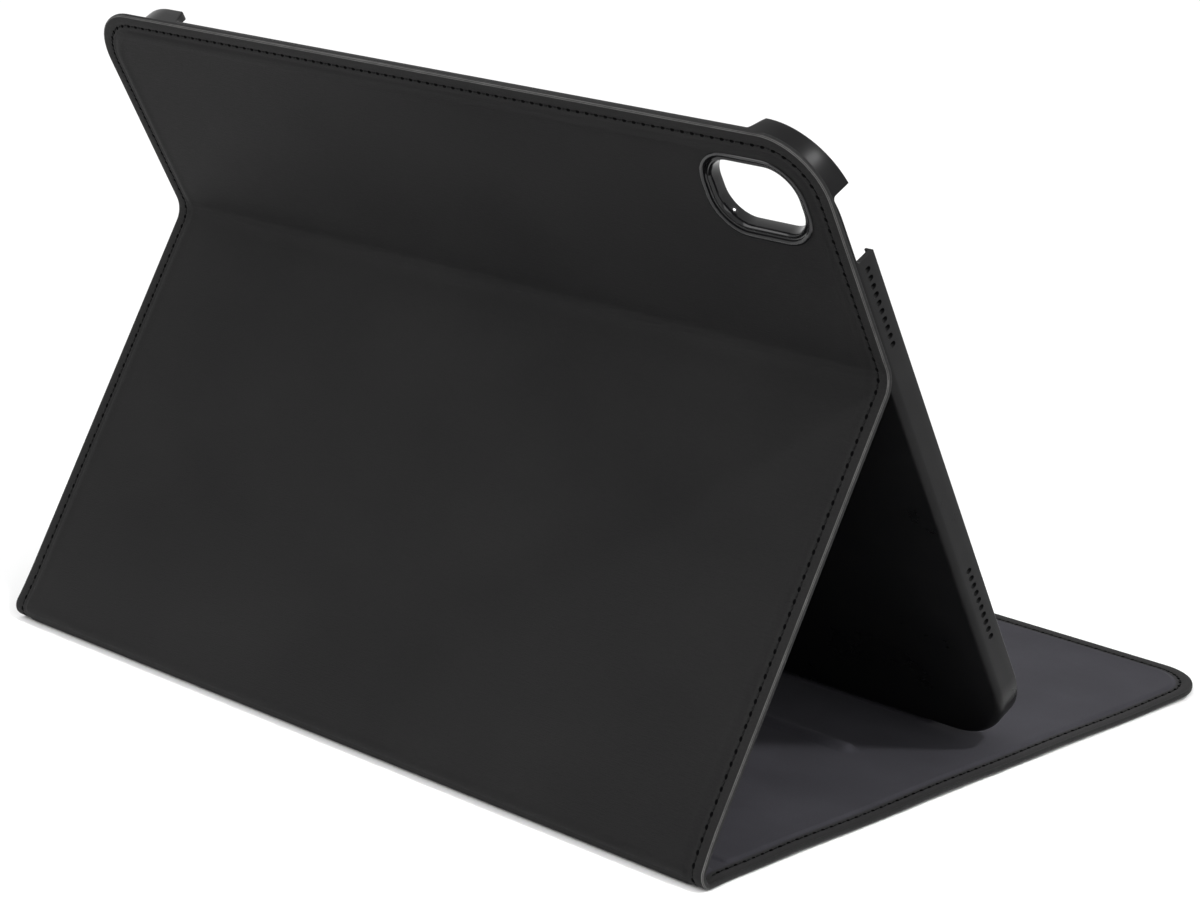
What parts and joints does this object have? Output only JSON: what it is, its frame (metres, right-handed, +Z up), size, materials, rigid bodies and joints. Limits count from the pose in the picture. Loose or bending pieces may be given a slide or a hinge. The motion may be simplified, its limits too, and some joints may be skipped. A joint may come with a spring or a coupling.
{
  "type": "tablet case",
  "caption": "Folio tablet case propped as a stand: a hard tray bonded to a folding laminated cover, with a leg panel, a spine and a front cover flat on the table.",
  "frame": {"origin": "centre of the bounding box's footprint, on the table plane under the front cover", "axes": "+X along the case's long side, -Y the side the screen faces, +Z up"},
  "size_m": [0.256, 0.2022, 0.1667],
  "materials": {
    "leatherette": "matt, fine grain",
    "lining": "microfibre",
    "board": "grey fibre board",
    "foam": "foam tape",
    "tray_plastic": "satin",
    "gloss_plastic": "gloss",
    "magnet": "nickel plate"
  },
  "bodies": {
    "front_cover": {"front_cover_skin": "leatherette", "front_cover_board": "board", "front_cover_lining": "lining", "wake_magnet_1": "magnet", "wake_magnet_2": "magnet", "hold_magnet_1": "magnet", "hold_magnet_2": "magnet", "hold_magnet_3": "magnet", "front_ridge": "lining", "rear_ridge": "lining"},
    "spine": {"spine_skin": "leatherette", "spine_board": "board", "spine_lining": "lining", "front_crease": "leatherette", "rear_crease": "leatherette"},
    "lower_back": {"lower_back_skin": "leatherette", "lower_back_board": "board", "lower_back_lining": "lining", "fold_crease": "leatherette"},
    "tray": {"upper_back_skin": "leatherette", "upper_back_board": "board", "bond_pad": "foam", "tray_shell": "tray_plastic", "camera_rim": "gloss_plastic"}
  },
  "joints": [
    {"name": "front_hinge", "type": "hinge", "parent": "front_cover", "child": "spine", "pos_m": [0, 0.08705, 0.0011], "axis": [1, 0, 0], "range_deg": [-115, 0]},
    {"name": "stand_hinge", "type": "hinge", "parent": "spine", "child": "lower_back", "pos_m": [0, 0.10005, 0.0011], "axis": [-1, 0, 0], "range_deg": [0, 29.8]},
    {"name": "fold_hinge", "type": "hinge", "parent": "lower_back", "child": "tray", "pos_m": [0, 0.03908, 0.10712], "axis": [1, 0, 0], "range_deg": [0, 58]}
  ],
  "couplings": [
    {"joint": "fold_hinge", "follows": "stand_hinge", "ratio": 1.9401}
  ]
}
